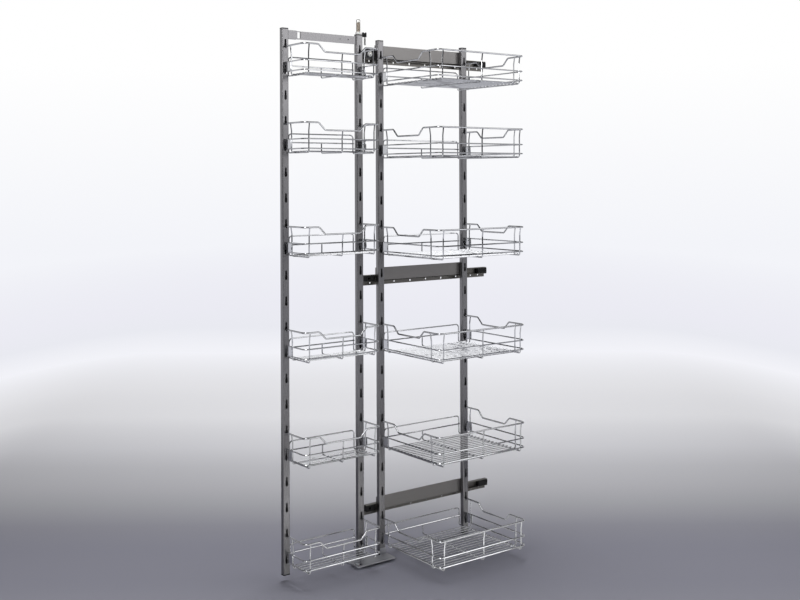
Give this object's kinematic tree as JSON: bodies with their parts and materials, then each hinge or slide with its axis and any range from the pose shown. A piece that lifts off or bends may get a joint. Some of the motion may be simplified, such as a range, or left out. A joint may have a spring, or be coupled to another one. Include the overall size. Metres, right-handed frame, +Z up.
{
  "type": "pull out larder unit",
  "caption": "Pull out larder fitting: a pivoting door frame of shallow wire baskets coupled to a sliding inner frame of deep wire baskets on side-wall runners.",
  "frame": {"origin": "on the door frame's pivot axis, at the underside of the floor plate", "axes": "+X into the cabinet along the runners, +Y towards the side wall that carries them, +Z up"},
  "size_m": [0.812, 0.3295, 1.6795],
  "materials": {
    "satin_steel": "satin",
    "chrome_wire": "polished",
    "plate_steel": "satin",
    "bright_hardware": "polished",
    "pin_steel": "satin",
    "black_plastic": "matte",
    "white_nylon": "matte"
  },
  "bodies": {
    "runners": {"rail_top": "satin_steel", "rail_middle": "satin_steel", "rail_bottom": "satin_steel", "front_blocks": "black_plastic", "roller_bracket": "plate_steel", "roller_pin": "bright_hardware", "rear_bumpers": "black_plastic", "floor_plate": "plate_steel", "floor_bush": "white_nylon"},
    "front_roller": {"front_roller": "white_nylon"},
    "ball_cages": {"ball_cages": "plate_steel", "bearing_balls": "bright_hardware"},
    "inner_frame": {"moving_rail_top": "satin_steel", "moving_rail_middle": "satin_steel", "moving_rail_bottom": "satin_steel", "carrier_plate_top": "plate_steel", "carrier_plate_middle": "plate_steel", "carrier_plate_bottom": "plate_steel", "plate_screws": "bright_hardware", "inner_post_front": "satin_steel", "inner_post_back": "satin_steel", "inner_post_caps": "black_plastic", "drive_yoke": "plate_steel", "inner_basket_1": "chrome_wire", "inner_basket_2": "chrome_wire", "inner_basket_3": "chrome_wire", "inner_basket_4": "chrome_wire", "inner_basket_5": "chrome_wire", "inner_basket_6": "chrome_wire", "inner_grid_1": "chrome_wire", "inner_grid_2": "chrome_wire", "inner_grid_3": "chrome_wire", "inner_grid_4": "chrome_wire", "inner_grid_5": "chrome_wire", "inner_grid_6": "chrome_wire"},
    "door_frame": {"door_post_outer": "satin_steel", "door_post_pivot": "satin_steel", "door_post_caps": "black_plastic", "top_bar": "satin_steel", "bar_connector": "satin_steel", "pivot_pin_top": "pin_steel", "pin_washer": "white_nylon", "pivot_pin_bottom": "satin_steel", "pin_clip": "black_plastic", "clip_rod": "bright_hardware", "drive_lever": "plate_steel", "door_basket_1": "chrome_wire", "door_basket_2": "chrome_wire", "door_basket_3": "chrome_wire", "door_basket_4": "chrome_wire", "door_basket_5": "chrome_wire", "door_basket_6": "chrome_wire", "door_grid_1": "chrome_wire", "door_grid_2": "chrome_wire", "door_grid_3": "chrome_wire", "door_grid_4": "chrome_wire", "door_grid_5": "chrome_wire", "door_grid_6": "chrome_wire"},
    "drive_roller": {"drive_roller": "white_nylon"}
  },
  "joints": [
    {"name": "door_swing", "type": "hinge", "parent": "runners", "child": "door_frame", "pos_m": [0, 0, 0], "axis": [0, 0, 1], "range_deg": [0, 90]},
    {"name": "inner_slide", "type": "slide", "parent": "runners", "child": "inner_frame", "axis": [1, 0, 0], "range_m": [0, 0.064]},
    {"name": "cage_slide", "type": "slide", "parent": "runners", "child": "ball_cages", "axis": [1, 0, 0], "range_m": [0, 0.032]},
    {"name": "front_roller_spin", "type": "hinge", "parent": "runners", "child": "front_roller", "pos_m": [0.05, 0.009, 1.5765], "axis": [0, 1, 0], "continuous": true},
    {"name": "drive_roller_spin", "type": "hinge", "parent": "door_frame", "child": "drive_roller", "pos_m": [-0.032, -0.032, 0.01], "axis": [0, 0, 1], "continuous": true}
  ],
  "couplings": [
    {"joint": "inner_slide", "follows": "door_swing", "m_per_rad": 0.04074},
    {"joint": "cage_slide", "follows": "door_swing", "m_per_rad": 0.02037}
  ]
}
